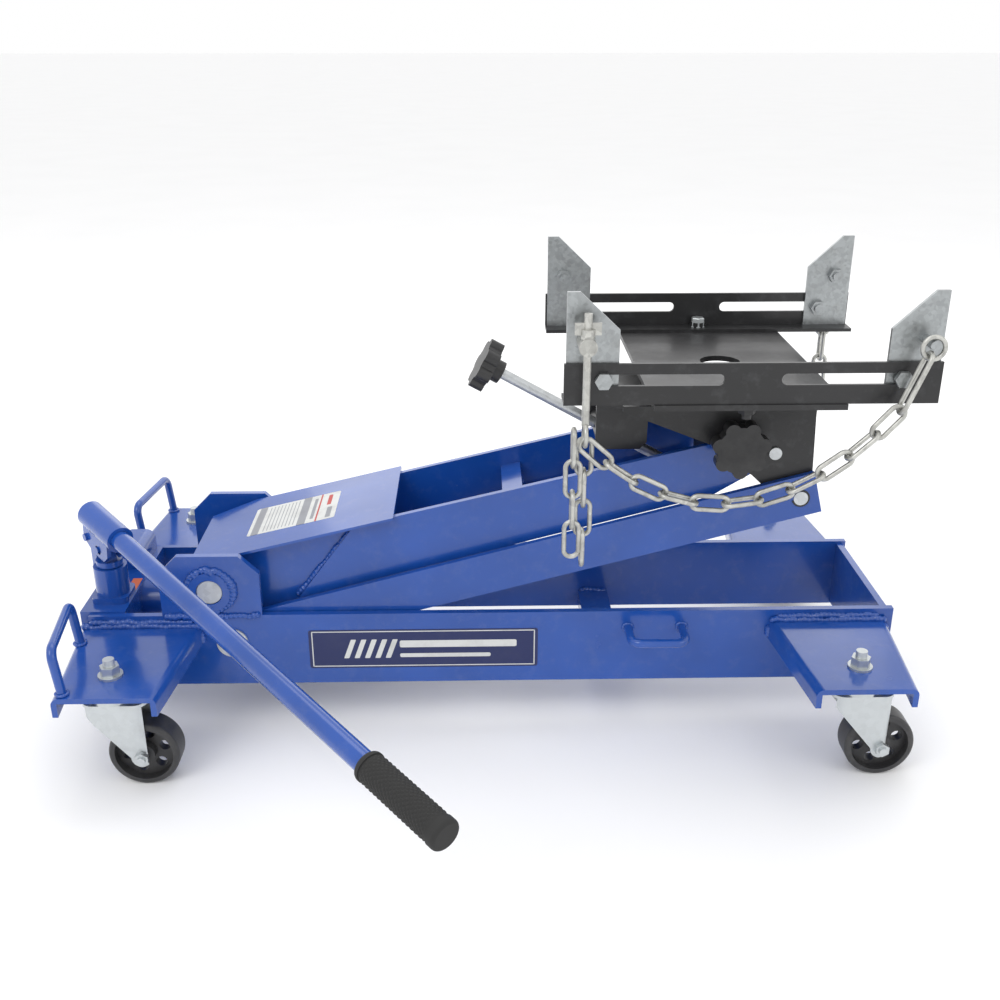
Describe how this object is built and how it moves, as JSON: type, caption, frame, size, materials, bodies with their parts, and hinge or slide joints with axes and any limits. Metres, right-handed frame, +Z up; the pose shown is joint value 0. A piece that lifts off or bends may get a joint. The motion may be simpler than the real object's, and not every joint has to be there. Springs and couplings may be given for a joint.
{
  "type": "transmission jack",
  "caption": "Blue floor transmission jack on swivel casters, with a long pump lever, a tilting black saddle, sliding corner brackets and a retaining chain.",
  "frame": {"origin": "on the floor under the middle of the chassis", "axes": "+X from the pump end to the saddle end, +Y to the left of the jack, +Z up"},
  "size_m": [0.947, 0.7574, 0.523],
  "materials": {
    "blue_paint": "gloss",
    "black_paint": "satin",
    "zinc": "satin",
    "pin_steel": "satin",
    "chain_zinc": "satin",
    "wheel_black": "satin",
    "knob_black": "satin",
    "grip_rubber": "matte"
  },
  "bodies": {
    "chassis": {"side_plate_right": "blue_paint", "side_plate_left": "blue_paint", "pivot_ear_right": "blue_paint", "pivot_ear_left": "blue_paint", "outrigger_pump_right": "blue_paint", "outrigger_pump_left": "blue_paint", "outrigger_saddle_right": "blue_paint", "outrigger_saddle_left": "blue_paint", "end_crossplate": "blue_paint", "mid_crossbar": "blue_paint", "carry_handles": "blue_paint", "grab_handles": "blue_paint", "pivot_pins": "pin_steel", "caster_kingpins": "zinc", "pump_block": "blue_paint", "reservoir": "blue_paint", "ram_cylinder": "blue_paint"},
    "valve": {"release_valve": "blue_paint"},
    "lever": {"lever_socket": "blue_paint", "handle_tube": "blue_paint", "handle_grip": "grip_rubber"},
    "plunger": {"plunger": "blue_paint"},
    "arm": {"arm_beam_right": "blue_paint", "arm_beam_left": "blue_paint", "arm_root_plates": "blue_paint", "arm_hub": "blue_paint", "arm_pins": "pin_steel", "arm_crossbar": "blue_paint", "arm_cover": "blue_paint"},
    "ram": {"ram": "pin_steel"},
    "link_right": {"level_link_right": "blue_paint"},
    "link_left": {"level_link_left": "blue_paint"},
    "carrier": {"carrier": "black_paint", "carrier_pins": "pin_steel"},
    "cradle": {"cradle": "black_paint", "roll_pin": "pin_steel"},
    "tilt_screw": {"tilt_screw": "pin_steel", "tilt_knob": "knob_black"},
    "side_knob": {"side_knob": "knob_black"},
    "saddle": {"saddle_plate": "black_paint"},
    "rail_right": {"rail_right": "black_paint", "chain_drape_hook_half": "chain_zinc", "chain_drape_ring_half": "chain_zinc"},
    "rail_left": {"rail_left": "black_paint"},
    "bracket_pump_right": {"bracket_pump_right": "zinc", "chain_hook": "chain_zinc"},
    "bracket_saddle_right": {"bracket_saddle_right": "zinc", "chain_shackle": "chain_zinc"},
    "bracket_pump_left": {"bracket_pump_left": "zinc"},
    "bracket_saddle_left": {"bracket_saddle_left": "zinc"},
    "chain_tail": {"chain_tail": "chain_zinc"},
    "spare_chain": {"spare_chain": "chain_zinc"},
    "swivel_pump_right": {"caster_fork_pump_right": "zinc"},
    "wheel_pump_right": {"caster_wheel_pump_right": "wheel_black"},
    "swivel_pump_left": {"caster_fork_pump_left": "zinc"},
    "wheel_pump_left": {"caster_wheel_pump_left": "wheel_black"},
    "swivel_saddle_right": {"caster_fork_saddle_right": "zinc"},
    "wheel_saddle_right": {"caster_wheel_saddle_right": "wheel_black"},
    "swivel_saddle_left": {"caster_fork_saddle_left": "zinc"},
    "wheel_saddle_left": {"caster_wheel_saddle_left": "wheel_black"}
  },
  "joints": [
    {"name": "swivel_pump_right", "type": "hinge", "parent": "chassis", "child": "swivel_pump_right", "pos_m": [-0.398, -0.202, 0.103], "axis": [0, 0, 1], "continuous": true},
    {"name": "wheel_pump_right", "type": "hinge", "parent": "swivel_pump_right", "child": "wheel_pump_right", "pos_m": [-0.37, -0.202, 0.038], "axis": [0, 1, 0], "continuous": true},
    {"name": "swivel_pump_left", "type": "hinge", "parent": "chassis", "child": "swivel_pump_left", "pos_m": [-0.398, 0.202, 0.103], "axis": [0, 0, 1], "continuous": true},
    {"name": "wheel_pump_left", "type": "hinge", "parent": "swivel_pump_left", "child": "wheel_pump_left", "pos_m": [-0.37, 0.202, 0.038], "axis": [0, 1, 0], "continuous": true},
    {"name": "swivel_saddle_right", "type": "hinge", "parent": "chassis", "child": "swivel_saddle_right", "pos_m": [0.398, -0.202, 0.103], "axis": [0, 0, 1], "continuous": true},
    {"name": "wheel_saddle_right", "type": "hinge", "parent": "swivel_saddle_right", "child": "wheel_saddle_right", "pos_m": [0.426, -0.202, 0.038], "axis": [0, 1, 0], "continuous": true},
    {"name": "swivel_saddle_left", "type": "hinge", "parent": "chassis", "child": "swivel_saddle_left", "pos_m": [0.398, 0.202, 0.103], "axis": [0, 0, 1], "continuous": true},
    {"name": "wheel_saddle_left", "type": "hinge", "parent": "swivel_saddle_left", "child": "wheel_saddle_left", "pos_m": [0.426, 0.202, 0.038], "axis": [0, 1, 0], "continuous": true},
    {"name": "release_valve", "type": "hinge", "parent": "chassis", "child": "valve", "pos_m": [-0.464, 0.045, 0.11433], "axis": [-1, 0, 0], "range_deg": [0, 360]},
    {"name": "pump_lever", "type": "hinge", "parent": "chassis", "child": "lever", "pos_m": [-0.45407, -0.02845, 0.21359], "axis": [-0.749, -0.6626, 0], "range_deg": [0, 26]},
    {"name": "plunger", "type": "slide", "parent": "chassis", "child": "plunger", "axis": [0, 0, 1], "range_m": [0, 0.0135]},
    {"name": "arm_lift", "type": "hinge", "parent": "chassis", "child": "arm", "pos_m": [-0.312, 0, 0.172], "axis": [0, -1, 0], "range_deg": [-15.8, 40]},
    {"name": "link_right", "type": "hinge", "parent": "chassis", "child": "link_right", "pos_m": [-0.292, -0.0865, 0.106], "axis": [0, -1, 0], "range_deg": [-16, 40.5]},
    {"name": "link_left", "type": "hinge", "parent": "chassis", "child": "link_left", "pos_m": [-0.292, 0.0865, 0.106], "axis": [0, -1, 0], "range_deg": [-16, 40.5]},
    {"name": "ram", "type": "slide", "parent": "chassis", "child": "ram", "axis": [1, 0, 0], "range_m": [-0.0165, 0.041]},
    {"name": "carrier_level", "type": "hinge", "parent": "arm", "child": "carrier", "pos_m": [0.32997, 0, 0.34162], "axis": [0, -1, 0], "range_deg": [-40.5, 16]},
    {"name": "tilt_screw", "type": "hinge", "parent": "cradle", "child": "tilt_screw", "pos_m": [0.13697, 0, 0.331], "axis": [0.8746, 0, -0.4848], "range_deg": [-1800, 4500]},
    {"name": "cradle_tilt", "type": "hinge", "parent": "carrier", "child": "cradle", "pos_m": [0.31697, 0, 0.32862], "axis": [0, 1, 0], "range_deg": [-6.1, 15.1]},
    {"name": "side_knob", "type": "hinge", "parent": "cradle", "child": "side_knob", "pos_m": [0.27297, -0.1, 0.342], "axis": [0, 1, 0], "range_deg": [-720, 720]},
    {"name": "saddle_roll", "type": "hinge", "parent": "cradle", "child": "saddle", "pos_m": [0.26697, 0, 0.392], "axis": [1, 0, 0], "range_deg": [-6.1, 6.1]},
    {"name": "rail_right", "type": "slide", "parent": "saddle", "child": "rail_right", "axis": [0, 1, 0], "range_m": [0, 0.005]},
    {"name": "rail_left", "type": "slide", "parent": "saddle", "child": "rail_left", "axis": [0, -1, 0], "range_m": [0, 0.005]},
    {"name": "bracket_pump_right", "type": "slide", "parent": "rail_right", "child": "bracket_pump_right", "axis": [1, 0, 0], "range_m": [0, 0.114], "deforming": ["chain_drape_hook_half"]},
    {"name": "bracket_saddle_right", "type": "slide", "parent": "rail_right", "child": "bracket_saddle_right", "axis": [-1, 0, 0], "range_m": [0, 0.114], "deforming": ["chain_drape_ring_half"]},
    {"name": "bracket_pump_left", "type": "slide", "parent": "rail_left", "child": "bracket_pump_left", "axis": [1, 0, 0], "range_m": [0, 0.114]},
    {"name": "bracket_saddle_left", "type": "slide", "parent": "rail_left", "child": "bracket_saddle_left", "axis": [-1, 0, 0], "range_m": [0, 0.114]},
    {"name": "chain_tail", "type": "hinge", "parent": "bracket_pump_right", "child": "chain_tail", "pos_m": [0.09847, -0.1765, 0.373], "axis": [0, 1, 0], "range_deg": [-6, 35]},
    {"name": "spare_chain", "type": "hinge", "parent": "bracket_saddle_left", "child": "spare_chain", "pos_m": [0.43547, 0.1765, 0.475], "axis": [0, 1, 0], "range_deg": [-30, 30]}
  ],
  "couplings": [
    {"joint": "plunger", "follows": "pump_lever", "m_per_rad": 0.0286},
    {"joint": "link_right", "follows": "arm_lift", "ratio": 1},
    {"joint": "link_left", "follows": "arm_lift", "ratio": 1},
    {"joint": "carrier_level", "follows": "arm_lift", "ratio": -1},
    {"joint": "ram", "follows": "arm_lift", "m_per_rad": 0.0582},
    {"joint": "cradle_tilt", "follows": "tilt_screw", "ratio": 0.0033333},
    {"joint": "saddle_roll", "follows": "side_knob", "ratio": 0.0083333}
  ]
}
